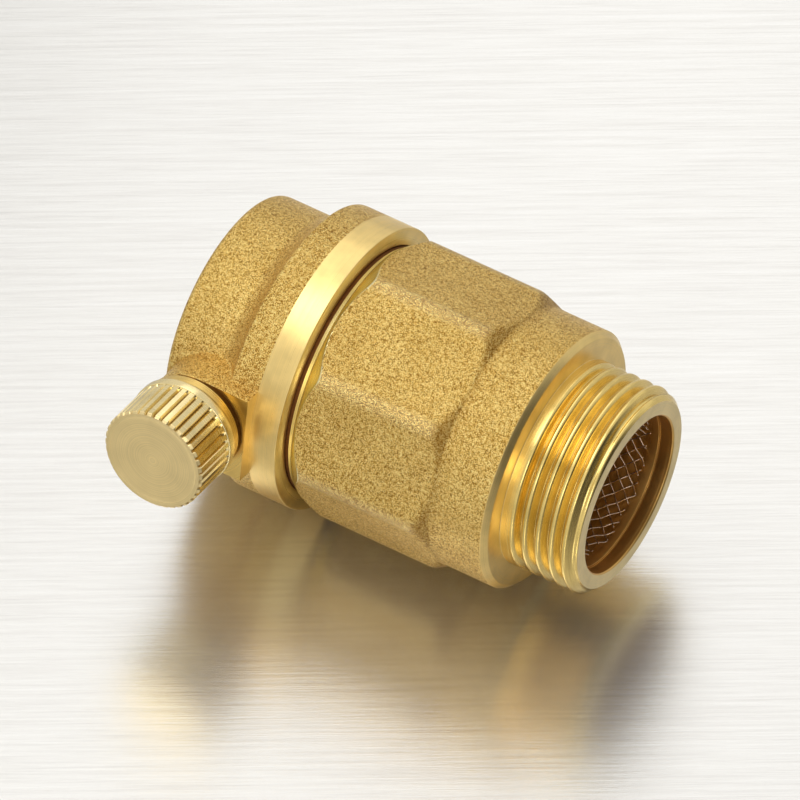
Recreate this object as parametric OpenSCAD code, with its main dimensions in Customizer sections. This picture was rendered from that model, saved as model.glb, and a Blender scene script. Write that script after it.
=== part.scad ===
// Automatic air vent for heating systems: a brass float chamber with a threaded inlet,
// a screwed-on bonnet, a float-operated valve and a knurled cap on the side outlet.
// The origin is the centre of the flat shoulder that the fitting is screwed down to.
// +Z runs along the main axis towards the bonnet, and the outlet faces -Y.

/* [Inlet] */
// Radius over the crests of the inlet thread, DN20
thread_crest_r = 13.22; // [13.1:0.01:13.3]
// Radius of the end face, at the thread's root
thread_end_r = 12.05; // [11.8:0.05:12.4]
// Length of the threaded inlet below the shoulder
inlet_len = 10; // [9.6:0.1:14]
// Radius of the inlet bore
inlet_bore_r = 10.16; // [9.9:0.02:10.4]

/* [Body] */
// Radius of the round collar above the shoulder
collar_r = 16.64; // [16.4:0.02:16.9]
// Width across the flats of the octagon
across_flats = 33.4; // [33.2:0.1:34]
// Turn of the octagon's first corner from +X, in degrees
octagon_turn = 33.8; // [0:0.1:45]
// Height at which the collar begins to slope out to the octagon's corners
collar_top = 7.64; // [7:0.02:8]
// Height at which the octagon is full
octagon_bottom = 9.4; // [9:0.1:10]
// Height at which the chamfer under the neck begins
octagon_top = 25.1; // [24:0.1:25.2]
// Height of the foot of the neck
neck_foot = 27; // [26.9:0.1:27.4]
// Radius of the float chamber
chamber_r = 13.6; // [13.2:0.1:13.8]

/* [Bonnet] */
// Height of the bonnet's lower rim
bonnet_bottom = 28.05; // [27.9:0.05:28.2]
// Radius of the bonnet's ring and flange
flange_r = 18.32; // [18.2:0.02:18.6]
// Height of the flange's upper edge
flange_top = 35.7; // [35:0.1:36]
// Radius of the dome above the flange
dome_r = 15.48; // [15:0.02:15.8]
// Height at which the dome's side is straight
dome_foot = 38.2; // [37.8:0.1:38.6]
// Height of the top of the bonnet
bonnet_top = 45.5; // [45:0.1:46]

/* [Outlet] */
// Height of the outlet's axis
outlet_z = 38.61; // [38.2:0.01:39]
// Distance of the boss's end face from the main axis
boss_face = 19.46; // [19.2:0.02:20]
// Width of the boss
boss_w = 12.34; // [11.8:0.02:13]
// Radius over the knurl of the vent cap
cap_r = 6.73; // [6.4:0.01:6.8]
// Distance of the cap's front face from the main axis
cap_front = 28.91; // [28.6:0.01:29.4]
// Length of the cap
cap_len = 7.41; // [7.2:0.01:7.5]
// Number of teeth in the knurl
knurl_teeth = 38; // [30:1:44]

/* [Valve] */
// Angle that the lever turns from open to closed
lever_swing = 16.5; // [12:0.5:17]
// Radius of the float
float_r = 12.4; // [11.5:0.1:12.6]
// Height of the float
float_h = 19.6; // [16:0.1:20]

/* [Hidden] */
$fn = 96;

// Inlet
thread_len = 8.83;
sink = 0.02;
shoulder_out_r = 15.92;
shoulder_chamfer = collar_r - shoulder_out_r;
bore_top = 3;
ledge_top = 5;
ledge_r = 8.2;
groove_z = -8.3;
groove_depth = 0.25;
groove_w = 0.3;

// Octagon
corner_r = across_flats / 2 / cos(22.5);
corner_cut_r = 17.85;
neck_foot_r = 16.42;

// Joint between body and bonnet
neck_r = 15.95;
neck_top = 32.6;
skirt_r = 16.02;
skirt_roof = 32.7;
ring_groove_z = 28.5;
ring_groove_h = 1.6;
ring_groove_r = 14.9;
ring_section = 0.72;
ring_squeeze = 0.05;

// Bonnet cavity
cavity_r = 12.9;
cavity_roof = 42.4;
dome_edge = 1;
flange_edge = 0.35;
ring_chamfer = 0.2;
ledge_w = 0.15;
dome_chamfer = 0.3;
fillet_steps = 5;
fillet_hollow = 0.35;
slope_r = flange_r - flange_edge - ledge_w;

// Boss
boss_bottom = 31.75;
arch_steps = 32;
outlet_bore_r = 4.05;
outlet_throat_r = 2.45;
throat_y = 13.4;

// Nipple and seat
nipple_r = 4;
nipple_bore_r = 1.5;
nipple_inner_y = 14.4;
nipple_flange_r = 6.4;
nipple_flange_y = [20.02, 21.05];
nipple_outer_y = 26.7;
washer_r = 5.6;
seat_y = 11.2;
seat_r = 2.4;
seat_bore_r = 0.8;
escape_w = 0.8;

// Cap
cap_back = cap_front - cap_len;
cap_bore_r = 4.06;
cap_bore_end = 27.6;
cap_rim_w = 1.05;
cap_rim_step = 0.12;
seal_disc = [3.85, 0.8];
knurl_depth = 0.42;

// Lever: the closed position is drawn, and the whole lever is turned down by lever_swing
pivot_y = -9;
pivot_z = 33;
pin_r = 0.8;
pin_fit = 0.03;
arm = 9.19;
link_pin_r = 0.6;
sheet = 0.8;
lever_w = 4.4;
bracket_gap = 3;
pad_r = 1.9;
pad_front_y = -11.12;
pad_back_y = -9.9;
float_travel = arm * sin(lever_swing);
link_z = pivot_z - float_travel;

// Bracket, its two screws, and the clips of the lever's pin
screw_x = 6.4;
screw_y = -7;
screw_r = 1;
screw_hole_r = 1.02;
screw_hole_len = 2.2;
screw_head_r = 1.9;
pin_len = 10;
clip_x = 4.35;
clip_w = 0.3;
clip_groove_w = 0.4;
clip_groove = 0.25;
clip_r = 1.6;
rivet_r = 0.9;

// Float
float_bottom = 6;
float_wall = 0.9;
float_top = float_bottom + float_h;
eye_half = [1.15, 0.95];

// A solid of revolution about the outlet's axis: x is the radius and y the distance along -Y
module about_outlet() {
    translate([0, 0, outlet_z]) rotate([90, 0, 0]) children();
}

// A tube about the outlet's axis, between two distances from the main axis
module outlet_tube(r_out, r_in, from, to) {
    about_outlet() translate([0, 0, from]) difference() {
        cylinder(r = r_out, h = to - from);
        translate([0, 0, -1]) cylinder(r = r_in, h = to - from + 2);
    }
}

// A rod along X through a point of the lever's plane
module cross_rod(y, z, r, len) {
    translate([-len / 2, y, z]) rotate([0, 90, 0]) cylinder(r = r, h = len);
}

// Turns the lever's pieces from the closed position to the open one
module lever_open() {
    translate([0, pivot_y, pivot_z]) rotate([-lever_swing, 0, 0])
        translate([0, -pivot_y, -pivot_z]) children();
}

module body() {
    color("goldenrod") difference() {
        union() {
            rotate_extrude() polygon([
                [0, -inlet_len], [thread_end_r, -inlet_len], [thread_crest_r, -thread_len],
                [thread_crest_r, 0], [shoulder_out_r, 0], [collar_r, shoulder_chamfer],
                [collar_r, collar_top + 1], [0, collar_top + 1]]);
            intersection() {
                translate([0, 0, collar_top - 0.5]) rotate(octagon_turn)
                    cylinder(r = corner_r, h = neck_foot - collar_top + 0.5, $fn = 8);
                rotate_extrude() polygon([
                    [0, collar_top - 0.5], [collar_r - sink, collar_top - 0.5], [collar_r - sink, collar_top],
                    [corner_cut_r, octagon_bottom], [corner_cut_r, octagon_top],
                    [neck_foot_r, neck_foot], [0, neck_foot]]);
            }
            translate([0, 0, neck_foot - 1]) cylinder(r = neck_r, h = neck_top - neck_foot + 1);
        }
        translate([0, 0, -inlet_len - 1]) cylinder(r = inlet_bore_r, h = inlet_len + 1 + bore_top);
        translate([0, 0, groove_z]) cylinder(r = inlet_bore_r + groove_depth, h = groove_w);
        cylinder(r = ledge_r, h = ledge_top + 1);
        translate([0, 0, ledge_top]) cylinder(r = chamber_r, h = neck_top);
        translate([0, 0, ring_groove_z]) difference() {
            cylinder(r = neck_r + 2, h = ring_groove_h);
            translate([0, 0, -1]) cylinder(r = ring_groove_r, h = ring_groove_h + 2);
        }
    }
}

module filter_screen() {
    cup_bottom = -7.5;
    cup_top = 2.9;
    cup_out_r = 9.75;
    cup_wall = 0.35;
    color("silver") difference() {
        translate([0, 0, cup_bottom]) cylinder(r = cup_out_r, h = cup_top - cup_bottom);
        translate([0, 0, cup_bottom - 1])
            cylinder(r = cup_out_r - cup_wall, h = cup_top - cup_bottom + 1 - cup_wall);
    }
}

// Round-topped outline of the boss about the outlet's axis, with a flat foot
function boss_points() = concat(
    [for (i = [0 : arch_steps]) boss_w / 2 * [cos(180 * i / arch_steps), sin(180 * i / arch_steps)]],
    [[-boss_w / 2, boss_bottom - outlet_z], [boss_w / 2, boss_bottom - outlet_z]]);

// A point on the hollow slope from the flange (t = 0) to the dome (t = 1)
function fillet_point(t) = [
    slope_r + t * (dome_r - slope_r) - fillet_hollow * sin(180 * t),
    flange_top + t * (dome_foot - flange_top) - fillet_hollow * sin(180 * t)];

module bonnet() {
    color("goldenrod") difference() {
        union() {
            rotate_extrude() polygon([
                [0, bonnet_bottom], [flange_r - ring_chamfer, bonnet_bottom],
                [flange_r, bonnet_bottom + ring_chamfer],
                [flange_r, flange_top - flange_edge], [flange_r - flange_edge, flange_top],
                for (i = [0 : fillet_steps]) fillet_point(i / fillet_steps),
                [dome_r, bonnet_top - dome_edge],
                [dome_r - dome_chamfer, bonnet_top - dome_chamfer], [dome_r - dome_edge, bonnet_top],
                [0, bonnet_top]]);
            about_outlet() linear_extrude(boss_face) polygon(boss_points());
        }
        translate([0, 0, bonnet_bottom - 1]) cylinder(r = skirt_r, h = skirt_roof - bonnet_bottom + 1);
        cylinder(r = cavity_r, h = cavity_roof);
        about_outlet() translate([0, 0, throat_y]) cylinder(r = outlet_bore_r, h = boss_face);
        about_outlet() cylinder(r = outlet_throat_r, h = throat_y + 1);
        for (side = [-1, 1])
            translate([side * screw_x, screw_y, cavity_roof - 1])
                cylinder(r = screw_hole_r, h = screw_hole_len + 1);
    }
}

module bonnet_o_ring() {
    color("black") translate([0, 0, ring_groove_z + ring_groove_h / 2])
        rotate_extrude() translate([ring_groove_r + ring_section - ring_squeeze, 0])
            circle(r = ring_section, $fn = 32);
}

module outlet_nipple() {
    color("gold") difference() {
        about_outlet() {
            translate([0, 0, nipple_inner_y]) cylinder(r = nipple_r, h = nipple_outer_y - nipple_inner_y);
            translate([0, 0, nipple_flange_y[0]])
                cylinder(r = nipple_flange_r, h = nipple_flange_y[1] - nipple_flange_y[0]);
        }
        about_outlet() cylinder(r = nipple_bore_r, h = cap_front);
        // Flat slot along the outer thread, through which the air leaves
        translate([-escape_w / 2, -nipple_outer_y - 1, outlet_z + nipple_r - 0.7])
            cube([escape_w, nipple_outer_y - nipple_flange_y[1] + 1, 2]);
    }
}

module nipple_washer() {
    color("dimgray") outlet_tube(washer_r, nipple_r + 0.05, boss_face, nipple_flange_y[0]);
}

// Outline of the straight knurl: flat lands between V grooves
function knurl_points() = [
    for (i = [0 : knurl_teeth - 1])
        for (corner = [[-0.28, cap_r], [0.28, cap_r], [0.5, cap_r - knurl_depth]])
            corner[1] * [cos(360 * (i + corner[0]) / knurl_teeth), sin(360 * (i + corner[0]) / knurl_teeth)]
];

module vent_cap() {
    color("gold") difference() {
        about_outlet() {
            translate([0, 0, cap_back]) cylinder(r = cap_r + cap_rim_step, h = cap_rim_w);
            translate([0, 0, cap_back + cap_rim_w - 0.1])
                linear_extrude(cap_len - cap_rim_w + 0.1) polygon(knurl_points());
        }
        about_outlet() translate([0, 0, cap_back - 1])
            cylinder(r = cap_bore_r, h = cap_bore_end - cap_back + 1);
    }
}

module cap_seal() {
    color("black") about_outlet() translate([0, 0, cap_bore_end - seal_disc[1] - 0.02])
        cylinder(r = seal_disc[0], h = seal_disc[1]);
}

module valve_seat() {
    color("khaki") difference() {
        about_outlet() {
            translate([0, 0, seat_y]) cylinder(r1 = seat_r - 0.6, r2 = seat_r, h = 0.8);
            translate([0, 0, seat_y + 0.8]) cylinder(r = seat_r, h = nipple_inner_y - seat_y - 0.8);
        }
        about_outlet() cylinder(r = seat_bore_r, h = cap_front);
    }
}

module seat_o_ring() {
    color("black") about_outlet() translate([0, 0, throat_y + 0.05])
        difference() {
            cylinder(r = outlet_bore_r - 0.1, h = nipple_inner_y - throat_y - 0.1);
            translate([0, 0, -1]) cylinder(r = seat_r + 0.05, h = 3);
        }
}

// Two ears that hang from a plate under the roof and carry the lever's pin
module lever_bracket() {
    plate_w = 17;
    plate_y = [-9.6, -4.6];
    ear_bottom = pivot_z - 2;
    color("silver") difference() {
        union() {
            translate([-plate_w / 2, plate_y[0], cavity_roof - sheet])
                cube([plate_w, plate_y[1] - plate_y[0], sheet]);
            for (side = [-1, 1])
                translate([side * (bracket_gap + sheet / 2) - sheet / 2, 0, 0])
                    rotate([90, 0, 90]) linear_extrude(sheet)
                        polygon([[plate_y[0], cavity_roof], [plate_y[1], cavity_roof],
                                 [pivot_y + 2, ear_bottom + 1.2], [pivot_y + 1.2, ear_bottom],
                                 [pivot_y - 0.6, ear_bottom], [pivot_y - 1.2, ear_bottom + 0.8]]);
        }
        cross_rod(pivot_y, pivot_z, pin_r, 12);
        for (side = [-1, 1])
            translate([side * screw_x, screw_y, cavity_roof - 2]) cylinder(r = screw_r + 0.2, h = 3);
    }
}

module bracket_screws() {
    color("silver") for (side = [-1, 1])
        translate([side * screw_x, screw_y, 0]) difference() {
            union() {
                translate([0, 0, cavity_roof - sheet - 1]) cylinder(r = screw_head_r, h = 1);
                translate([0, 0, cavity_roof - sheet - 0.5]) cylinder(r = screw_r, h = sheet + 2.4);
            }
            translate([-3, -0.25, cavity_roof - sheet - 1.5]) cube([6, 0.5, 1]);
        }
}

module lever_pin() {
    color("silver") difference() {
        cross_rod(pivot_y, pivot_z, pin_r, pin_len);
        for (side = [-1, 1])
            translate([side * clip_x - clip_groove_w / 2, pivot_y, pivot_z]) rotate([0, 90, 0])
                difference() {
                    cylinder(r = 2 * pin_r, h = clip_groove_w);
                    translate([0, 0, -1]) cylinder(r = pin_r - clip_groove, h = 3);
                }
    }
}

// Two E-clips in the pin's grooves
module pin_clips() {
    color("silver") for (side = [-1, 1])
        translate([side * clip_x - clip_w / 2, pivot_y, pivot_z]) rotate([0, 90, 0])
            difference() {
                cylinder(r = clip_r, h = clip_w);
                translate([0, 0, -1]) cylinder(r = pin_r - clip_groove, h = 3);
                translate([0, clip_w - pin_r, -1]) cube([3, 2 * (pin_r - clip_w), 3]);
            }
}

module valve_lever() {
    barrel_r = 1.5;
    fork_in = 1.15;
    color("silver") lever_open() difference() {
        union() {
            cross_rod(pivot_y, pivot_z, barrel_r, lever_w);
            // Upright arm behind the pad
            translate([-lever_w / 2, pad_back_y, pivot_z])
                cube([lever_w, sheet, outlet_z - pivot_z + pad_r + 0.3]);
            // Level arm to the float
            translate([-lever_w / 2, pivot_y, pivot_z - 0.75]) cube([lever_w, arm + 1.4, 1.5]);
        }
        cross_rod(pivot_y, pivot_z, pin_r + pin_fit, 12);
        cross_rod(pivot_y + arm, pivot_z, link_pin_r, 12);
        translate([-fork_in, pivot_y + arm - 3, pivot_z - 3]) cube([2 * fork_in, 6, 6]);
        translate([0, pad_back_y - 1, outlet_z]) rotate([-90, 0, 0]) cylinder(r = rivet_r, h = 3);
    }
}

module valve_pad() {
    color("black") lever_open() difference() {
        translate([0, pad_back_y, outlet_z]) rotate([90, 0, 0])
            cylinder(r = pad_r, h = pad_back_y - pad_front_y);
        translate([0, pad_back_y + 1, outlet_z]) rotate([90, 0, 0]) cylinder(r = rivet_r, h = 1.7);
    }
}

// The rivet that holds the pad to the upright arm
module pad_rivet() {
    color("silver") lever_open() {
        translate([0, pad_back_y + sheet, outlet_z]) rotate([90, 0, 0])
            cylinder(r = rivet_r - 0.02, h = sheet + 0.65);
        translate([0, pad_back_y + sheet + 0.5, outlet_z]) rotate([90, 0, 0]) cylinder(r = 1.4, h = 0.5);
    }
}

module link_pin() {
    color("silver") lever_open() cross_rod(pivot_y + arm, pivot_z, link_pin_r, lever_w + 0.3);
}

module float_shell() {
    color("white") difference() {
        translate([0, 0, float_bottom + 2]) cylinder(r = float_r, h = float_h - 2);
        translate([0, 0, float_bottom]) cylinder(r = float_r - float_wall, h = float_h - float_wall);
    }
}

module float_base() {
    color("white") {
        translate([0, 0, float_bottom]) cylinder(r = float_r, h = 2);
        translate([0, 0, float_bottom + 1]) difference() {
            cylinder(r = float_r - float_wall - 0.02, h = 2.2);
            cylinder(r = float_r - 2 * float_wall, h = 3);
        }
    }
}

// Stem on the float's top, with a long eye round the lever's pin
module float_hanger() {
    stem_w = 1.6;
    eye_r = 2.1;
    color("silver") difference() {
        union() {
            translate([0, 0, float_top]) cylinder(r = 3.2, h = 0.7);
            translate([-stem_w / 2, -eye_r, float_top]) cube([stem_w, 2 * eye_r, link_z - float_top]);
            translate([-stem_w / 2, 0, link_z]) rotate([0, 90, 0]) cylinder(r = eye_r, h = stem_w);
        }
        translate([0, 0, link_z])
            for (side = [-1, 1])
                translate([-3, side * (eye_half[0] - eye_half[1]), 0]) rotate([0, 90, 0])
                    cylinder(r = eye_half[1], h = 6);
    }
}

body();
filter_screen();
bonnet();
bonnet_o_ring();
outlet_nipple();
nipple_washer();
vent_cap();
cap_seal();
valve_seat();
seat_o_ring();
lever_bracket();
bracket_screws();
lever_pin();
pin_clips();
valve_lever();
valve_pad();
pad_rivet();
link_pin();
float_shell();
float_base();
float_hanger();
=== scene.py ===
"""Looks of the automatic air vent: brass body, bonnet, cap, wire filter and the pieces inside.

Lengths in this script are millimetres in the part's own frame and are turned into metres when
a mesh is made. The origin is the centre of the inlet's shoulder, +Z runs to the bonnet, and
the outlet faces -Y.
"""
import math

import bmesh
import bpy
import numpy as np
from mathutils import Euler, Matrix, Vector


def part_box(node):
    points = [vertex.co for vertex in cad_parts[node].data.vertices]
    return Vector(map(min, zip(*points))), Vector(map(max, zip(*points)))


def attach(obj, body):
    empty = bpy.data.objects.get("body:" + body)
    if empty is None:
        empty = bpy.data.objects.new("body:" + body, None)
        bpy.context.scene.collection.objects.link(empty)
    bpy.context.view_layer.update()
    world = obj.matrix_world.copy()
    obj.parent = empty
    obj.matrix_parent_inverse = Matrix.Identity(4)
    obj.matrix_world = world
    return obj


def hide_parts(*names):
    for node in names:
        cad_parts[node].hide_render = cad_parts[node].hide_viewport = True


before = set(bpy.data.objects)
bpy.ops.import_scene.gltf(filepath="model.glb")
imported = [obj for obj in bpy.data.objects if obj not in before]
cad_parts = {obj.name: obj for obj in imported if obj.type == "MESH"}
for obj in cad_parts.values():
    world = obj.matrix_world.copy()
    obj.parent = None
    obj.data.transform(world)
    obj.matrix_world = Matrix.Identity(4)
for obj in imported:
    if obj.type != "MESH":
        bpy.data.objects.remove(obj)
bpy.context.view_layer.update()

MM = 0.001
TAU = 2 * math.pi

# ---------------------------------------------------------------- sizes, from the CAD's nodes


def node_mm(name):
    """Lowest and highest corner of a CAD node, in millimetres."""
    low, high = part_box(name)
    return np.array(low) / MM, np.array(high) / MM


BODY_LOW, BODY_HIGH = node_mm("body")
BONNET_LOW, BONNET_HIGH = node_mm("bonnet")
CAP_LOW, CAP_HIGH = node_mm("vent_cap")
SCREEN_LOW, SCREEN_HIGH = node_mm("filter_screen")

# Inlet thread: 3/4 inch parallel pipe thread
INLET_END = BODY_LOW[2]
CREST_R = 13.22
ROOT_R = 12.058
END_R = 12.05
PITCH = 1.814
CHAMFER_Z = -8.83
SHANK_Z = -0.95
BORE_R = 10.16
MOUTH_CHAMFER = 0.18
MOUTH_DEPTH = 0.15
# Ratio of a Whitworth thread's full triangle to its pitch
TRIANGLE = 0.9605

# Groove and ledge in the inlet's bore
GROOVE_TOP = -8.0
GROOVE_FOOT = -8.32
GROOVE_DEPTH = 0.25
GROOVE_SLOPE = 0.02
LEDGE_R = 8.2
LEDGE_TOP = 5
LEDGE_FOOT = 3

# Body
SHOULDER_R = 15.92
COLLAR_R = 16.64
COLLAR_TOP = 7.64
APOTHEM = 16.7
CORNER_ROUND = 2.6
CORNER_R = 17.85
OCTAGON_TURN = math.radians(33.8)
OCTAGON_FOOT = 9.4
OCTAGON_TOP = 25.1
NECK_FOOT = 27.0
FOOT_R = 16.42
PAINTED_SHADE_FOOT = 27.6
NECK_R = 15.95
NECK_TOP = BODY_HIGH[2]
CHAMBER_R = 13.6

# Bonnet
RIM_Z = BONNET_LOW[2]
FLANGE_R = BONNET_HIGH[0]
MACHINED_TOP = 31.75
FLANGE_TOP = 35.7
DOME_R = 15.48
DOME_FOOT = 38.2
DOME_TOP = BONNET_HIGH[2]
SKIRT_R = 16.02
SKIRT_ROOF = 32.7
CAVITY_R = 12.9
CAVITY_ROOF = 42.4

# Outlet
OUTLET_Z = (CAP_LOW[2] + CAP_HIGH[2]) / 2
BOSS_FACE = -BONNET_LOW[1]
BOSS_HALF = 6.17
BOSS_FLOOR = 31.75
BORE_OUT_R = 4.05
THROAT_R = 2.45
THROAT_Y = 13.4
CAP_BORE_R = 4.06
CAP_BORE_END = 27.6
CAP_FRONT = -CAP_LOW[1]
CAP_BACK = -CAP_HIGH[1]
CAP_R = 6.73
KNURL_TEETH = 38

# ---------------------------------------------------------------- mesh helpers


def smin(a, b, k):
    """The smaller of two values, blended over a width k."""
    h = np.clip(0.5 + 0.5 * (b - a) / k, 0, 1)
    return b * (1 - h) + a * h - k * h * (1 - h)


def smax(a, b, k):
    return -smin(-np.asarray(a), -np.asarray(b), k)


def smoothstep(x, low, high):
    t = np.clip((np.asarray(x, float) - low) / (high - low), 0, 1)
    return t * t * (3 - 2 * t)


def rail(points, step):
    """Points along a polyline of (r, z) corners, no further apart than step, corners kept."""
    out = [np.array(points[0], float)]
    for a, b in zip(points[:-1], points[1:]):
        a, b = np.array(a, float), np.array(b, float)
        n = max(1, int(math.ceil(np.linalg.norm(b - a) / step)))
        out += [a + (b - a) * i / n for i in range(1, n + 1)]
    return np.array(out)


def eased(points, radius, parts=4):
    """The polyline with each corner turned into a small arc of about that radius."""
    pts = [np.array(p, float) for p in points]
    out = [pts[0]]
    for before, corner, after in zip(pts[:-2], pts[1:-1], pts[2:]):
        cut = min(radius, 0.45 * np.linalg.norm(corner - before), 0.45 * np.linalg.norm(after - corner))
        a = corner + (before - corner) / max(np.linalg.norm(before - corner), 1e-9) * cut
        b = corner + (after - corner) / max(np.linalg.norm(after - corner), 1e-9) * cut
        for i in range(parts + 1):
            t = i / parts
            out.append((1 - t) ** 2 * a + 2 * t * (1 - t) * corner + t * t * b)
    out.append(pts[-1])
    return out


def make_mesh(name, verts, faces, materials, indices=None, marks=None):
    """Closed mesh from millimetres; marks are named values, one for each vertex, for the shaders."""
    mesh = bpy.data.meshes.new(name)
    mesh.from_pydata((np.asarray(verts) * MM).tolist(), [], faces)
    for key, values in (marks or {}).items():
        mesh.attributes.new(key, "FLOAT", "POINT").data.foreach_set("value", np.asarray(values, np.float32))
    obj = bpy.data.objects.new(name, mesh)
    bpy.context.scene.collection.objects.link(obj)
    for m in materials:
        mesh.materials.append(m)
    if indices is not None:
        mesh.polygons.foreach_set("material_index", np.asarray(indices, np.int32))
    mesh.polygons.foreach_set("use_smooth", [True] * len(mesh.polygons))
    mesh.update()
    tidy = bmesh.new()
    tidy.from_mesh(mesh)
    bmesh.ops.recalc_face_normals(tidy, faces=tidy.faces)
    tidy.to_mesh(mesh)
    tidy.free()
    return obj


def grid_faces(rows, cols, wrap_rows):
    """Quads of a grid that closes round its columns, and round its rows if wrap_rows."""
    i = np.arange(rows if wrap_rows else rows - 1)[:, None]
    j = np.arange(cols)[None, :]
    a = i * cols + j
    b = i * cols + (j + 1) % cols
    c = ((i + 1) % rows) * cols + (j + 1) % cols
    d = ((i + 1) % rows) * cols + j
    return np.stack([a, b, c, d], -1).reshape(-1, 4)


def lathe(name, radius, height, turn, materials, pick=None, poles=False, sharp=None, marks=None):
    """Mesh from a grid: row s and angle phi give radius[s, phi] and height[s, phi].
    With poles, the first and last rows are closed by a point on the axis."""
    rows, cols = radius.shape
    x = radius * np.cos(turn)
    y = radius * np.sin(turn)
    verts = np.stack([x, y, height], -1).reshape(-1, 3)
    faces = grid_faces(rows, cols, not poles)
    marks = {key: values.ravel() for key, values in (marks or {}).items()}
    quads = faces.tolist()
    middle = verts[faces].mean(1)
    centre_r = np.hypot(*middle[:, :2].T)
    chosen = np.zeros(len(faces), int) if pick is None else pick(middle, centre_r, faces // cols)
    if poles:
        top = len(verts)
        marks = {key: np.append(values, [0, 0]) for key, values in marks.items()}
        verts = np.vstack([verts, [0, 0, height[0].mean()], [0, 0, height[-1].mean()]])
        first = [[top, (j + 1) % cols, j] for j in range(cols)]
        base = (rows - 1) * cols
        last = [[top + 1, base + j, base + (j + 1) % cols] for j in range(cols)]
        quads += first + last
        chosen = np.concatenate([chosen, np.full(cols, chosen[0]), np.full(cols, chosen[-1])])
    obj = make_mesh(name, verts, quads, materials, chosen, marks)
    if sharp:
        obj.data.set_sharp_from_angle(angle=math.radians(sharp))
    return obj


def to_outlet(obj):
    """Turns a mesh made about +Z so that its axis lies along the outlet, with z the distance along -Y."""
    turn = Matrix.Translation((0, 0, OUTLET_Z * MM)) @ Matrix.Rotation(math.radians(90), 4, "X")
    obj.data.transform(turn)
    obj.data.update()


# ---------------------------------------------------------------- materials


class Nodes:
    """Short names for building a shader."""

    def __init__(self, name):
        self.material = bpy.data.materials.new(name)
        self.material.use_nodes = True
        self.tree = self.material.node_tree
        self.shader = self.tree.nodes["Principled BSDF"]
        coords = self.tree.nodes.new("ShaderNodeTexCoord")
        scale = self.tree.nodes.new("ShaderNodeVectorMath")
        scale.operation = "SCALE"
        scale.inputs["Scale"].default_value = 1000
        self.link(coords.outputs["Object"], scale.inputs[0])
        self.mm = scale.outputs[0]

    def link(self, a, b):
        self.tree.links.new(a, b)

    def set(self, **values):
        for key, value in values.items():
            self.shader.inputs[key.replace("_", " ")].default_value = value

    def math(self, kind, a, b=None):
        node = self.tree.nodes.new("ShaderNodeMath")
        node.operation = kind
        for socket, value in zip(node.inputs, (a, b)):
            if value is None:
                continue
            if isinstance(value, (int, float)):
                socket.default_value = value
            else:
                self.link(value, socket)
        return node.outputs[0]

    def noise(self, scale, detail, rough, vector=None):
        node = self.tree.nodes.new("ShaderNodeTexNoise")
        node.inputs["Scale"].default_value = scale
        node.inputs["Detail"].default_value = detail
        node.inputs["Roughness"].default_value = rough
        self.link(vector or self.mm, node.inputs["Vector"])
        return node.outputs["Fac"]

    def ramp(self, fac, stops):
        node = self.tree.nodes.new("ShaderNodeValToRGB")
        element = node.color_ramp.elements
        while len(element) < len(stops):
            element.new(0.5)
        for e, (place, colour) in zip(element, stops):
            e.position = place
            e.color = (*colour, 1) if len(colour) == 3 else colour
        self.link(fac, node.inputs[0])
        return node.outputs[0]

    def spread(self, fac, low, high, to_low, to_high):
        node = self.tree.nodes.new("ShaderNodeMapRange")
        for name, value in zip(("From Min", "From Max", "To Min", "To Max"), (low, high, to_low, to_high)):
            node.inputs[name].default_value = value
        self.link(fac, node.inputs["Value"])
        return node.outputs[0]

    def bump(self, height, distance, strength=1.0):
        node = self.tree.nodes.new("ShaderNodeBump")
        node.inputs["Distance"].default_value = distance * MM
        node.inputs["Strength"].default_value = strength
        self.link(height, node.inputs["Height"])
        return node.outputs[0]

    def split(self, vector):
        node = self.tree.nodes.new("ShaderNodeSeparateXYZ")
        self.link(vector, node.inputs[0])
        return node.outputs

    def join(self, x, y, z):
        node = self.tree.nodes.new("ShaderNodeCombineXYZ")
        for socket, value in zip(node.inputs, (x, y, z)):
            if isinstance(value, (int, float)):
                socket.default_value = value
            else:
                self.link(value, socket)
        return node.outputs[0]

    def mark(self, name):
        """A value stored on the mesh's vertices; 0 on a mesh without it."""
        node = self.tree.nodes.new("ShaderNodeAttribute")
        node.attribute_name = name
        return node.outputs["Fac"]

    def mixed(self, kind, factor, a, b):
        """Colour mix of the given kind; factor, a and b are sockets or values."""
        node = self.tree.nodes.new("ShaderNodeMix")
        node.data_type = "RGBA"
        node.blend_type = kind
        for socket, value in zip((node.inputs["Factor"], node.inputs[6], node.inputs[7]), (factor, a, b)):
            if isinstance(value, (int, float, tuple)):
                socket.default_value = value
            else:
                self.link(value, socket)
        return node.outputs[2]

    def turned(self, about_outlet=False):
        """Distance from an axis, and place along it."""
        x, y, z = self.split(self.mm)
        if about_outlet:
            across, along = self.math("SUBTRACT", z, OUTLET_Z), y
        else:
            across, along = y, z
        square = self.math("ADD", self.math("MULTIPLY", x, x), self.math("MULTIPLY", across, across))
        return self.math("SQRT", square), along


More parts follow.
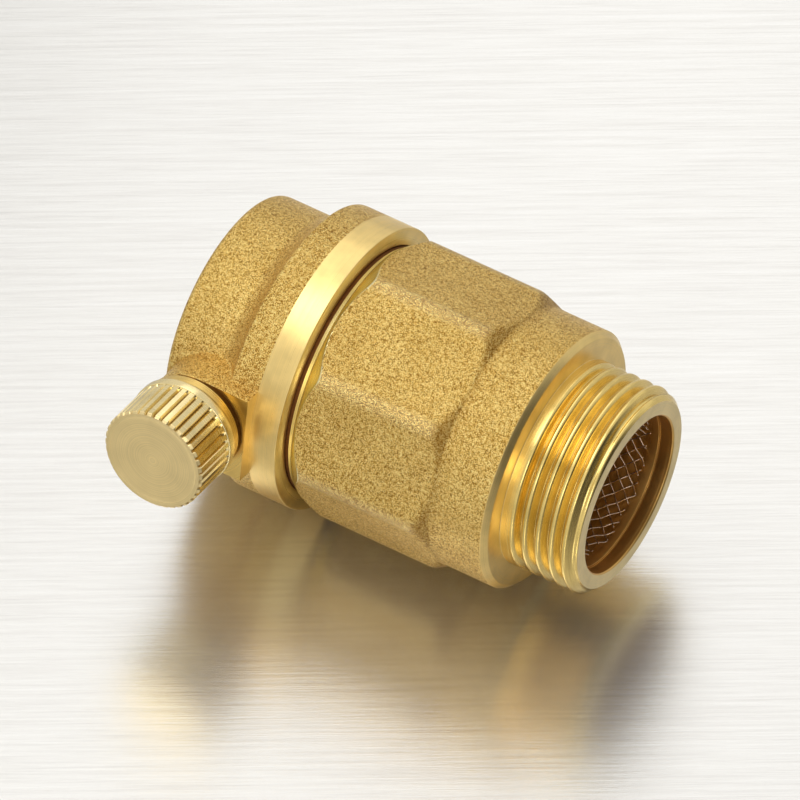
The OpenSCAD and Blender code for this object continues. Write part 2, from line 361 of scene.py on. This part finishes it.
def blasted_brass(name):
    """Sandblasted forging: fine pits that sparkle, over broad soft stains, smoother at the corners, which
    are also paler from rubbed wear and a painted highlight, with painted shade in the creases.
    """
    n = Nodes(name)
    grain = n.noise(8.0, 2, 0.6)
    coarse = n.noise(2.6, 2, 0.5)
    stain = n.noise(0.16, 3, 0.55)
    both = n.math("ADD", n.math("MULTIPLY", grain, 0.75), n.math("MULTIPLY", coarse, 0.25))
    colour = n.ramp(both, [(0.40, (0.26, 0.115, 0.014)), (0.50, (0.84, 0.515, 0.120)),
                           (0.59, (1.0, 0.83, 0.34))])
    tone = n.ramp(stain, [(0.3, (0.88, 0.85, 0.78)), (0.7, (1.0, 1.0, 1.0))])
    wear_and_highlight = n.mark("corner")
    stained = n.mixed("MULTIPLY", 1.0, colour, tone)
    # The corners are mixed towards pale brass: rubbed wear and a painted highlight.
    rubbed_and_highlit = n.mixed("MIX", n.math("MULTIPLY", wear_and_highlight, 0.14), stained, (1.0, 0.84, 0.50, 1))
    # The slopes and valley under the flats are darkened in the colour: painted shade.
    shade = n.math("MULTIPLY", n.mark("painted_crease_shade"), 0.55)
    n.link(n.mixed("MULTIPLY", shade, rubbed_and_highlit, (0.50, 0.40, 0.28, 1)), n.shader.inputs["Base Color"])
    n.set(Metallic=1.0)
    gloss = n.math("SUBTRACT", n.spread(both, 0.3, 0.7, 0.46, 0.30), n.math("MULTIPLY", wear_and_highlight, 0.12))
    n.link(gloss, n.shader.inputs["Roughness"])
    height = n.math("ADD", grain, n.math("MULTIPLY", coarse, 0.7))
    n.link(n.bump(height, 0.135), n.shader.inputs["Normal"])
    return n.material


def turned_brass(name, about_outlet=False, rough=0.16, colour=(0.86, 0.62, 0.22), lines=0.010, pitch=6.0,
                 ring_tint=0.45):
    """Lathe-turned brass: fine rings round the axis, with faint handling marks, and painted shade where the
    mesh marks a groove.
    """
    n = Nodes(name)
    radius, along = n.turned(about_outlet)
    rings = n.noise(pitch, 3, 0.7, n.join(radius, along, 0.0))
    broad = n.noise(1.1, 2, 0.5, n.join(radius, along, 0.0))
    cloud = n.noise(0.35, 3, 0.5)
    dark = tuple(c * 0.82 for c in colour)
    tint = n.math("ADD", n.math("MULTIPLY", cloud, 1 - ring_tint), n.math("MULTIPLY", rings, ring_tint))
    bright = n.ramp(tint, [(0.38, dark), (0.60, colour)])
    # Where the mesh marks a groove the colour is darkened: painted shade.
    shaded_in_grooves = n.mixed("MULTIPLY", n.mark("groove"), bright, (0.42, 0.34, 0.26, 1))
    n.link(shaded_in_grooves, n.shader.inputs["Base Color"])
    n.set(Metallic=1.0)
    n.link(n.spread(rings, 0.3, 0.7, rough * 0.75, rough * 1.35), n.shader.inputs["Roughness"])
    height = n.math("ADD", rings, n.math("MULTIPLY", broad, 1.2))
    n.link(n.bump(height, lines), n.shader.inputs["Normal"])
    return n.material


def plain(name, colour, rough, metallic=0.0, grain=1.2, depth=0.01, **extra):
    """Simple material with a little grain in its colour, gloss and surface."""
    n = Nodes(name)
    speck = n.noise(grain, 4, 0.6)
    dark = tuple(c * 0.9 for c in colour)
    n.link(n.ramp(speck, [(0.3, dark), (0.7, colour)]), n.shader.inputs["Base Color"])
    n.set(Metallic=metallic, **extra)
    n.link(n.spread(speck, 0.3, 0.7, rough * 1.2, rough * 0.8), n.shader.inputs["Roughness"])
    n.link(n.bump(speck, depth), n.shader.inputs["Normal"])
    return n.material


BLASTED = blasted_brass("blasted_brass")
TURNED = turned_brass("turned_brass", rough=0.34, colour=(1.0, 0.74, 0.29), lines=0.010)
THREAD = turned_brass("thread_brass", rough=0.22, colour=(0.98, 0.73, 0.25), lines=0.006)
CHAMFER = turned_brass("chamfer_brass", rough=0.24, colour=(1.0, 0.90, 0.50), lines=0.004)
MATTE_END = turned_brass("end_face_brass", rough=0.42, colour=(0.98, 0.80, 0.44), lines=0.010)
BORE = turned_brass("bore_brass", rough=0.30, colour=(0.82, 0.50, 0.15), lines=0.02, pitch=3.0)
CAP_SIDE = turned_brass("cap_side_brass", True, rough=0.22, colour=(1.0, 0.82, 0.42), lines=0.004)
CAP_FACE = turned_brass("cap_face_brass", True, rough=0.36, colour=(1.0, 0.79, 0.39), lines=0.04, pitch=5.6,
                        ring_tint=0.75)
BOSS_END = turned_brass("boss_end_brass", True, rough=0.30, colour=(0.92, 0.64, 0.20), lines=0.01)
WIRE = plain("filter_wire", (0.58, 0.44, 0.34), 0.26, 1.0, 3.0, 0.004)
# Near-black brass for the top of the neck, in the gap under the bonnet's ring: painted shade.
PAINTED_GAP_SHADE = plain("painted_shade_neck", (0.20, 0.085, 0.03), 0.5, 1.0, 1.5, 0.01)
STEEL = plain("stainless_steel", (0.66, 0.66, 0.67), 0.30, 1.0, 2.0, 0.006)
RUBBER = plain("black_rubber", (0.022, 0.022, 0.024), 0.55, 0.0, 2.5, 0.01)
FIBRE = plain("sealing_fibre", (0.16, 0.09, 0.055), 0.7, 0.0, 2.0, 0.03)
PLASTIC = plain("float_plastic", (0.78, 0.78, 0.72), 0.38, 0.0, 0.8, 0.01)

# ---------------------------------------------------------------- body


def octagon(phi):
    """Radius of the octagon with rounded corners, at an angle from +X."""
    side = TAU / 8
    off = (phi - OCTAGON_TURN + side / 2) % side - side / 2
    centre = (APOTHEM - CORNER_ROUND) / math.cos(side / 2)
    reach = math.atan2(CORNER_ROUND * math.sin(side / 2), centre + CORNER_ROUND * math.cos(side / 2))
    flat = APOTHEM / np.cos(side / 2 - np.abs(off))
    inside = np.clip(CORNER_ROUND ** 2 - (centre * np.sin(off)) ** 2, 0, None)
    arc = centre * np.cos(off) + np.sqrt(inside)
    return np.where(np.abs(off) < reach, arc, flat)


def thread_radius(phi, z):
    """Right-hand Whitworth form: 55 degree flanks with rounded crests and roots."""
    turns = z / PITCH - phi / TAU
    tri = 1 - 2 * np.abs(turns - np.floor(turns) - 0.5)
    full, depth = TRIANGLE * PITCH, CREST_R - ROOT_R
    cut_off, root_blend, crest_blend, run_out = 0.05, 0.20, 0.34, 1.2
    wave = (tri * full - full * cut_off) / depth
    wave = smin(smax(wave, 0.0, root_blend), 1.0, crest_blend)
    fade = 1 - smoothstep(z, SHANK_Z - run_out, SHANK_Z)
    return CREST_R - depth * (1 - wave) * fade


def build_body():
    """Outline runs from the mouth's inner edge up the outside, over the neck and down the inside."""
    mouth = [(BORE_R + MOUTH_CHAMFER, INLET_END), (END_R, INLET_END), (CREST_R, CHAMFER_Z)]
    outside = rail(eased(mouth, 0.05, 2), 0.4)
    thread_step = 0.07
    thread = [(CREST_R, z) for z in np.arange(CHAMFER_Z + thread_step, SHANK_Z, thread_step)]
    shoulder = eased([(CREST_R, SHANK_Z), (CREST_R, 0), (SHOULDER_R, 0), (COLLAR_R, COLLAR_R - SHOULDER_R),
                      (COLLAR_R, COLLAR_TOP)], 0.07)
    shoulder = rail(shoulder, 1.0)
    # Rows are close together only where the flats begin and end
    levels = np.concatenate([np.arange(COLLAR_TOP + 0.14, OCTAGON_FOOT + 0.9, 0.14),
                             np.arange(OCTAGON_FOOT + 1.2, OCTAGON_TOP - 0.5, 1.0),
                             np.arange(OCTAGON_TOP - 0.2, NECK_FOOT - 0.05, 0.12)])
    shell = [(COLLAR_R, z) for z in levels]
    top = eased([(FOOT_R, NECK_FOOT), (NECK_R, NECK_FOOT + 0.04), (NECK_R, PAINTED_SHADE_FOOT), (NECK_R, NECK_TOP),
                 (CHAMBER_R, NECK_TOP), (CHAMBER_R, LEDGE_TOP), (LEDGE_R, LEDGE_TOP), (LEDGE_R, LEDGE_FOOT),
                 (BORE_R, LEDGE_FOOT), (BORE_R, GROOVE_TOP),
                 (BORE_R + GROOVE_DEPTH, GROOVE_TOP - GROOVE_SLOPE),
                 (BORE_R + GROOVE_DEPTH, GROOVE_FOOT + GROOVE_SLOPE), (BORE_R, GROOVE_FOOT),
                 (BORE_R, INLET_END + MOUTH_DEPTH), (BORE_R + MOUTH_CHAMFER, INLET_END)], 0.06)
    line = np.vstack([outside, thread, shoulder, shell, rail(top, 1.5)[:-1]])
    count = 330
    phi = np.linspace(0, TAU, count, endpoint=False)[None, :]
    r = np.repeat(line[:, :1], count, 1)
    z = np.repeat(line[:, 1:], count, 1)
    n_out, n_thread = len(outside), len(thread)
    # The thread starts inside the chamfer cone, which cuts its first turns
    cone = END_R + (z - INLET_END) * (CREST_R - END_R) / (CHAMFER_Z - INLET_END)
    is_thread = np.zeros(len(line), bool)
    mouth_rows, no_limit = 3, 99
    is_thread[mouth_rows:n_out + n_thread] = True
    threaded = np.minimum(thread_radius(phi, z), np.where(z < CHAMFER_Z, cone, no_limit))
    r = np.where(is_thread[:, None] & (z > INLET_END + 0.06), np.minimum(r, threaded), r)
    # Octagon, cut by the forged slope below and the machined chamfer above
    start = n_out + n_thread + len(shoulder)
    is_shell = np.zeros(len(line), bool)
    is_shell[start - 2:start + len(shell)] = True
    lower = COLLAR_R + (z - COLLAR_TOP) * (CORNER_R - COLLAR_R) / (OCTAGON_FOOT - COLLAR_TOP)
    upper = CORNER_R - (z - OCTAGON_TOP) * (CORNER_R - FOOT_R) / (NECK_FOOT - OCTAGON_TOP)
    collar_blend, slope_blend, chamfer_blend = 0.15, 0.12, 0.03
    eight = smin(octagon(phi), smax(lower, COLLAR_R, collar_blend), slope_blend)
    eight = smin(eight, upper, chamfer_blend)
    r = np.where(is_shell[:, None], eight, r)
    off = np.abs((phi - OCTAGON_TURN + TAU / 16) % (TAU / 8) - TAU / 16)
    # A corner is paler, from rubbed wear and a painted highlight, up to the first angle from its middle,
    # and as blasted beyond the second
    rubbed_and_highlit, blasted = 0.03, 0.085
    corner = 1 - smoothstep(off, rubbed_and_highlit, blasted)
    corner = corner * smoothstep(z, OCTAGON_FOOT - 0.6, OCTAGON_FOOT + 0.2)
    corner = np.where(is_shell[:, None], corner, 0.0)
    slope = smoothstep(octagon(phi) - lower, -0.02, 0.12)
    slope = slope * smoothstep(z, COLLAR_TOP - 0.1, COLLAR_TOP + 0.12)
    # A shallow valley follows the arcs where the flats end
    rise = (OCTAGON_FOOT - COLLAR_TOP) / (CORNER_R - COLLAR_R)
    valley_width, valley_depth, valley_shade = 0.28, 0.10, 0.7
    valley = np.exp(-((z - COLLAR_TOP - (octagon(phi) - COLLAR_R) * rise) / valley_width) ** 2)
    # The slopes below the flats' ends and the valley along them are darkened in the colour: painted shade.
    painted_crease_shade = np.maximum(slope, valley_shade * valley)
    painted_crease_shade = np.where(is_shell[:, None] & (z < OCTAGON_FOOT + 0.3), painted_crease_shade, 0.0)
    r = np.where(is_shell[:, None], r - valley_depth * valley, r)
    # The thread's roots are darkened in the colour: painted shade, strongest at the bottom of the root.
    depth = np.clip((CREST_R - r) / (CREST_R - ROOT_R), 0, 1)
    painted_root_shade = np.where(is_thread[:, None] & (z > CHAMFER_Z), 0.7 * depth ** 8, 0.0)
    looks = [BLASTED, TURNED, THREAD, MATTE_END, BORE, CHAMFER, PAINTED_GAP_SHADE]
    # The first rows of the neck are left out of the bore
    neck_rows = 14

    def pick(middle, radius, rows):
        h = middle[:, 2]
        inner = rows[:, 0] > start + len(shell) + neck_rows
        cut = CORNER_R - (h - OCTAGON_TOP) * (CORNER_R - FOOT_R) / (NECK_FOOT - OCTAGON_TOP)
        chosen = np.zeros(len(middle), int)
        chosen[(h > OCTAGON_TOP - 0.3) & (np.abs(radius - cut) < 0.05)] = looks.index(CHAMFER)
        chosen[h > NECK_FOOT - 0.02] = looks.index(CHAMFER)
        # The top of the neck takes the near-black brass: painted shade in the gap.
        chosen[h > PAINTED_SHADE_FOOT] = looks.index(PAINTED_GAP_SHADE)
        chosen[(h < 0.74) & (rows[:, 0] < start + 4)] = looks.index(TURNED)
        chosen[h < SHANK_Z + 0.6] = looks.index(THREAD)
        chosen[(h < INLET_END + 0.04) & (radius > BORE_R)] = looks.index(MATTE_END)
        chosen[inner & (radius < CHAMBER_R + 0.5)] = looks.index(BORE)
        return chosen

    obj = lathe("body_shell", r, z, phi + 0 * r, looks, pick,
                marks={"corner": corner, "painted_crease_shade": painted_crease_shade, "groove": painted_root_shade})
    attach(obj, "housing")
    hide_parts("body")


# ---------------------------------------------------------------- bonnet


def boss_radius(off, z):
    """Reach of the round-topped boss at an angle off from -Y."""
    lift = np.clip(z - OUTLET_Z, 0, BOSS_HALF)
    half = np.sqrt(BOSS_HALF ** 2 - lift ** 2)
    widest = 1.2
    end = BOSS_FACE / np.cos(np.clip(off, -widest, widest))
    side = half / np.maximum(np.abs(np.sin(off)), 1e-3)
    reach = smin(end, side, 0.3)
    inside = (z > BOSS_FLOOR - 0.001) & (z < OUTLET_Z + BOSS_HALF) & (np.abs(off) < widest)
    return np.where(inside, reach, 0)


def bore_boss(obj, materials):
    """Cuts the nipple's stepped hole through the boss, from outside it to inside the cavity."""
    start, end, core = 12.0, BOSS_FACE + 1, 0.2
    line = np.array([(core, start), (THROAT_R, start), (THROAT_R, THROAT_Y), (BORE_OUT_R, THROAT_Y),
                     (BORE_OUT_R, end), (core, end)])
    phi = np.linspace(0, TAU, 72, endpoint=False)[None, :]
    grid = np.ones_like(phi)
    cutter = lathe("boss_cutter", line[:, :1] * grid, line[:, 1:] * grid, phi + 0 * line[:, :1], materials,
                   lambda middle, radius, rows: np.full(len(rows), materials.index(BORE)), poles=True)
    to_outlet(cutter)
    cut = obj.modifiers.new("hole", "BOOLEAN")
    cut.object = cutter
    cut.operation = "DIFFERENCE"
    cut.solver = "EXACT"
    ready = obj.evaluated_get(bpy.context.evaluated_depsgraph_get())
    mesh = bpy.data.meshes.new_from_object(ready)
    obj.modifiers.clear()
    obj.data = mesh
    mesh.set_sharp_from_angle(angle=math.radians(50))
    bpy.data.objects.remove(cutter)


def build_bonnet():
    head = eased([(0.4, DOME_TOP), (DOME_R, DOME_TOP), (DOME_R, DOME_FOOT)], 1.0, 7)
    foot = eased([(DOME_R, DOME_FOOT), (DOME_R + 0.55, DOME_FOOT - 0.95), (DOME_R + 1.25, DOME_FOOT - 1.7),
                  (FLANGE_R - 0.5, FLANGE_TOP), (FLANGE_R, FLANGE_TOP - 0.25),
                  (FLANGE_R, MACHINED_TOP)], 0.3, 4)
    ring = eased([(FLANGE_R, MACHINED_TOP - 0.01), (FLANGE_R, RIM_Z), (SKIRT_R, RIM_Z),
                  (SKIRT_R, SKIRT_ROOF), (CAVITY_R, SKIRT_ROOF), (CAVITY_R, CAVITY_ROOF),
                  (0.4, CAVITY_ROOF)], 0.14, 4)
    head, foot, ring = rail(head, 0.3), rail(foot, 0.25), rail(ring, 1.0)
    line = np.vstack([head, foot[1:], ring])
    # Angles are closer together where the boss's sides run out from the dome
    columns, side_angle, side_spread, crowding = 480, 0.37, 0.07, 9
    base = np.linspace(-math.pi, math.pi, columns + 1)[:-1]
    weight = 1 + crowding * np.exp(-((np.abs(base) - side_angle) / side_spread) ** 2)
    place = np.concatenate([[0], np.cumsum((weight[1:] + weight[:-1]) / 2)])
    place = place / (place[-1] + weight[-1]) * len(base)
    crowd = np.interp(np.arange(len(base)), place, base)
    off = crowd[None, :]
    r = np.repeat(line[:, :1], len(crowd), 1)
    z = np.repeat(line[:, 1:], len(crowd), 1)
    outside = np.zeros(len(line), bool)
    outside[:len(head) + len(foot) - 1] = True
    boss = boss_radius(off, z)
    boss_blend, top_edge = 0.5, 0.9
    grown = smax(r, boss, boss_blend)
    r = np.where(outside[:, None] & (boss > 1) & (r > DOME_R - top_edge), grown, r)
    looks = [BLASTED, TURNED, BOSS_END, BORE]

    def pick(middle, radius, rows):
        h = middle[:, 2]
        chosen = np.zeros(len(middle), int)
        chosen[rows[:, 0] >= len(head) + len(foot) - 2] = looks.index(TURNED)
        end = (middle[:, 1] < -BOSS_FACE + 0.12) & (np.abs(middle[:, 0]) < BOSS_HALF - 0.1)
        chosen[end & (h > BOSS_FLOOR)] = looks.index(BOSS_END)
        chosen[(radius < CAVITY_R + 0.3) & (h < CAVITY_ROOF + 0.1)] = looks.index(BORE)
        return chosen

    obj = lathe("bonnet_shell", r, z, off - math.pi / 2 + 0 * r, looks, pick, poles=True)
    bore_boss(obj, looks)
    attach(obj, "housing")
    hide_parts("bonnet")


# ---------------------------------------------------------------- vent cap


def build_cap():
    """Made about +Z with z the distance from the main axis, then turned to the outlet."""
    rim_r, rim_w, depth, face_edge = CAP_R + 0.12, 1.05, 0.48, 0.3
    groove = 0.88 * CAP_R
    face = [(0.3, CAP_FRONT), (groove - 0.12, CAP_FRONT), (groove, CAP_FRONT - 0.05),
            (groove + 0.12, CAP_FRONT), (CAP_R - face_edge, CAP_FRONT), (CAP_R, CAP_FRONT - face_edge)]
    side = [(CAP_R, CAP_FRONT - face_edge), (CAP_R, CAP_BACK + rim_w + 0.05)]
    back = eased([(CAP_R, CAP_BACK + rim_w + 0.05), (rim_r, CAP_BACK + rim_w), (rim_r, CAP_BACK),
                  (CAP_BORE_R, CAP_BACK), (CAP_BORE_R, CAP_BORE_END), (0.3, CAP_BORE_END)], 0.1)
    face, side, back = rail(face, 0.5), rail(side, 0.25), rail(back, 0.6)
    line = np.vstack([face, side[1:], back[1:]])
    # Across one tooth: the flat land, the groove's edge at 0.27, its bottom at 0.5 and the way back
    steps = np.array([0, 0.14, 0.25, 0.27, 0.34, 0.42, 0.48, 0.5, 0.52, 0.58, 0.66, 0.73, 0.75, 0.86])
    phi = ((np.arange(KNURL_TEETH)[:, None] + steps[None, :]).ravel() * TAU / KNURL_TEETH)[None, :]
    count = phi.shape[1]
    r = np.repeat(line[:, :1], count, 1)
    z = np.repeat(line[:, 1:], count, 1)
    tooth = (phi * KNURL_TEETH / TAU) % 1
    groove_half = 0.23
    valley = np.clip(1 - np.abs(tooth - 0.5) / groove_half, 0, 1)
    depth = depth * (1 + 0.22 * np.sin(phi * 5 + 0.6) + 0.12 * np.sin(phi * 11))
    run_in = smoothstep(z, CAP_BACK + rim_w, CAP_BACK + rim_w + 0.35)
    knurled = np.zeros(len(line), bool)
    knurled[len(face) - 1:len(face) + len(side)] = True
    r = np.where(knurled[:, None], r - depth * valley * run_in, r)
    # The knurl's grooves are darkened in the colour: painted shade.
    painted_knurl_shade = np.where(knurled[:, None], valley ** 2.5 * run_in, 0.0)

    looks = [CAP_SIDE, CAP_FACE]

    def pick(middle, radius, rows):
        chosen = np.zeros(len(middle), int)
        chosen[rows[:, 0] < len(face) - 1] = looks.index(CAP_FACE)
        return chosen

    obj = lathe("vent_cap_knurled", r, z, phi + 0 * r, looks, pick, poles=True, sharp=25,
                marks={"groove": painted_knurl_shade})
    to_outlet(obj)
    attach(obj, "cap")
    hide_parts("vent_cap")


# ---------------------------------------------------------------- wire filter


def tube_mesh(paths, radius, sides=6):
    """One mesh of round wires along lists of points."""
    verts, faces = [], []
    for path in paths:
        p = np.array(path, float)
        d = np.gradient(p, axis=0)
        d /= np.linalg.norm(d, axis=1)[:, None]
        ref = p / np.linalg.norm(p, axis=1)[:, None] * [1, 1, 0] + [1e-4, 0, 0.02]
        side = np.cross(d, ref)
        side /= np.linalg.norm(side, axis=1)[:, None]
        up = np.cross(side, d)
        start = len(verts)
        for k in range(len(p)):
            for s in range(sides):
                a = TAU * s / sides
                verts.append(p[k] + radius * (math.cos(a) * side[k] + math.sin(a) * up[k]))
        for k in range(len(p) - 1):
            for s in range(sides):
                a, b = start + k * sides + s, start + k * sides + (s + 1) % sides
                faces.append([a, b, b + sides, a + sides])
        faces.append([start + s for s in range(sides)])
        faces.append([start + (len(p) - 1) * sides + s for s in range(sides)][::-1])
    return verts, faces


def build_screen():
    """Two families of wires that cross and weave, over the cup's side and across its end."""
    cup_r, wire_r, pitch, lift = 9.35, 0.10, 1.25, 0.10
    # No wire's middle lies further out than this
    limit_r = 9.62
    low, high = SCREEN_LOW[2], SCREEN_HIGH[2] - wire_r * 2
    rng = np.random.default_rng(7)
    count = int(round(TAU * cup_r / (pitch * math.sqrt(2))))
    paths = []
    slope = 1 / cup_r
    for family in (-1, 1):
        for i in range(count):
            ragged = rng.uniform(-0.1, 0.75)
            z = np.arange(low + 0.1 + ragged, high, 0.15)
            turn = family * (z - low) * slope + TAU * i / count
            phase = (z - low) / (pitch / math.sqrt(2)) * math.pi
            r = cup_r + family * lift * np.cos(phase + math.pi * i)
            bend = np.exp(-(z - z[0]) / 0.35) * rng.uniform(-0.35, 0.15)
            r = r + bend
            r = np.minimum(r, limit_r)
            paths.append(np.stack([r * np.cos(turn), r * np.sin(turn), z], -1))
    reach = cup_r - 0.25
    lines = np.arange(-reach + 0.4, reach - 0.2, pitch)
    for i, a in enumerate(lines):
        half = math.sqrt(reach ** 2 - a ** 2)
        t = np.arange(-half, half + 0.01, 0.3)
        wave = high + lift * np.cos(t / pitch * math.pi + math.pi * i)
        paths.append(np.stack([t, np.full_like(t, a), wave], -1))
        paths.append(np.stack([np.full_like(t, a), t, 2 * high - wave], -1))
    verts, faces = tube_mesh(paths, wire_r)
    obj = make_mesh("filter_gauze", verts, faces, [WIRE])
    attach(obj, "housing")
    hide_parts("filter_screen")


# ---------------------------------------------------------------- CAD nodes that keep their shape

NODE_LOOKS = {
    "bonnet_o_ring": RUBBER, "outlet_nipple": BOSS_END, "nipple_washer": FIBRE, "cap_seal": RUBBER,
    "valve_seat": BOSS_END, "seat_o_ring": RUBBER, "lever_bracket": STEEL, "bracket_screws": STEEL,
    "lever_pin": STEEL, "pin_clips": STEEL, "valve_lever": STEEL, "valve_pad": RUBBER,
    "pad_rivet": STEEL, "link_pin": STEEL, "float_shell": PLASTIC, "float_base": PLASTIC,
    "float_hanger": STEEL,
}


def dress_nodes():
    for name, look in NODE_LOOKS.items():
        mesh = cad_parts[name].data
        mesh.materials.clear()
        mesh.materials.append(look)


# ---------------------------------------------------------------- camera, floor and lights

CAMERA_PLACE = (855.66, -915.97, -440.00)
CAMERA_TURN = (131.435, 58.541, 80.079)
LENS = 504.66
SENSOR_WIDTH = 36
CLIP_END = 20
FLOOR_HALF = 900
LIGHT_AIM = (0, 0, 18)

# The part lies on its bonnet's ring, with the floor on its -X side
FLOOR_UP = Vector((0.979, -0.203, 0)).normalized()
FLOOR_POINT = -FLOOR_UP * FLANGE_R


def build_camera():
    data = bpy.data.cameras.new("camera")
    data.lens = LENS
    data.sensor_width = SENSOR_WIDTH
    data.clip_end = CLIP_END
    obj = bpy.data.objects.new("camera", data)
    obj.location = Vector(CAMERA_PLACE) * MM
    obj.rotation_euler = Euler([math.radians(a) for a in CAMERA_TURN], "XYZ")
    bpy.context.scene.collection.objects.link(obj)
    bpy.context.scene.camera = obj


def floor_axes():
    """Floor directions: across the picture, away from the camera, and up from the floor."""
    across = Vector((0.106, 0.511, -0.853))
    across = (across - across.dot(FLOOR_UP) * FLOOR_UP).normalized()
    away = FLOOR_UP.cross(across).normalized()
    return across, away, FLOOR_UP


def floor_matrix(place):
    across, away, up = floor_axes()
    turn = Matrix((across, away, up)).transposed().to_4x4()
    return Matrix.Translation(place) @ turn


def floor_material():
    n = Nodes("brushed_floor")
    x, y, _ = n.split(n.mm)
    streak = n.noise(1.0, 4, 0.65, n.join(n.math("MULTIPLY", x, 0.035), n.math("MULTIPLY", y, 1.5), 0.0))
    fine = n.noise(1.0, 3, 0.7, n.join(n.math("MULTIPLY", x, 0.12), n.math("MULTIPLY", y, 5.0), 0.0))
    both = n.math("ADD", n.math("MULTIPLY", streak, 0.6), n.math("MULTIPLY", fine, 0.4))
    colour = n.ramp(both, [(0.3, (0.64, 0.625, 0.60)), (0.5, (0.72, 0.71, 0.685)),
                           (0.7, (0.77, 0.765, 0.745))])
    n.link(colour, n.shader.inputs["Base Color"])
    n.set(Metallic=0.88, Roughness=0.27)
    n.link(n.bump(both, 0.05, 0.5), n.shader.inputs["Normal"])
    # Only the upper side of the floor is seen, so a view from below shows the part
    geometry = n.tree.nodes.new("ShaderNodeNewGeometry")
    clear = n.tree.nodes.new("ShaderNodeBsdfTransparent")
    mix = n.tree.nodes.new("ShaderNodeMixShader")
    out = n.tree.nodes["Material Output"]
    n.link(geometry.outputs["Backfacing"], mix.inputs[0])
    n.link(n.shader.outputs[0], mix.inputs[1])
    n.link(clear.outputs[0], mix.inputs[2])
    n.link(mix.outputs[0], out.inputs["Surface"])
    return n.material


def build_floor():
    half = FLOOR_HALF
    mesh = bpy.data.meshes.new("floor")
    corners = [(-half, -half, 0), (half, -half, 0), (half, half, 0), (-half, half, 0)]
    mesh.from_pydata([(a * MM, b * MM, c * MM) for a, b, c in corners], [], [(0, 1, 2, 3)])
    obj = bpy.data.objects.new("floor", mesh)
    bpy.context.scene.collection.objects.link(obj)
    mesh.materials.append(floor_material())
    obj.matrix_world = floor_matrix(FLOOR_POINT * MM)


def add_light(name, place, size, power, colour=(1, 1, 1)):
    """Soft box at a place given as (across, away, up) from the floor point under the part."""
    data = bpy.data.lights.new(name, "AREA")
    data.shape = "RECTANGLE"
    data.size, data.size_y = size[0] * MM, size[1] * MM
    data.energy = power
    data.color = colour
    obj = bpy.data.objects.new(name, data)
    bpy.context.scene.collection.objects.link(obj)
    across, away, up = floor_axes()
    spot = (FLOOR_POINT + place[0] * across + place[1] * away + place[2] * up) * MM
    target = Vector(LIGHT_AIM) * MM
    turn = (target - spot).to_track_quat("-Z", "Y").to_matrix().to_4x4()
    obj.matrix_world = Matrix.Translation(spot) @ turn


def build_lights():
    world = bpy.data.worlds.new("studio")
    bpy.context.scene.world = world
    bpy.context.scene.view_settings.view_transform = "Standard"
    world.use_nodes = True
    back = world.node_tree.nodes["Background"]
    back.inputs["Color"].default_value = (1, 0.99, 0.97, 1)
    # The studio is dark on the inlet's side, which draws the dark lines in the thread's flanks
    tree = world.node_tree
    coords = tree.nodes.new("ShaderNodeTexCoord")
    parts = tree.nodes.new("ShaderNodeSeparateXYZ")
    level = tree.nodes.new("ShaderNodeMapRange")
    dark_below, lit_above, dark_strength, lit_strength = -0.90, -0.60, 0.03, 0.74
    for name, value in zip(("From Min", "From Max", "To Min", "To Max"),
                           (dark_below, lit_above, dark_strength, lit_strength)):
        level.inputs[name].default_value = value
    tree.links.new(coords.outputs["Generated"], parts.inputs[0])
    tree.links.new(parts.outputs["Z"], level.inputs["Value"])
    tree.links.new(level.outputs[0], back.inputs["Strength"])
    add_light("key", (-200, 30, 520), (340, 300), 0.78, (1, 0.99, 0.96))
    add_light("mirrored", (0, 391, 455), (400, 260), 0.235)
    add_light("front", (-60, -420, 260), (200, 120), 0.25)


build_camera()
build_floor()
build_lights()
build_body()
build_bonnet()
build_cap()
build_screen()
dress_nodes()
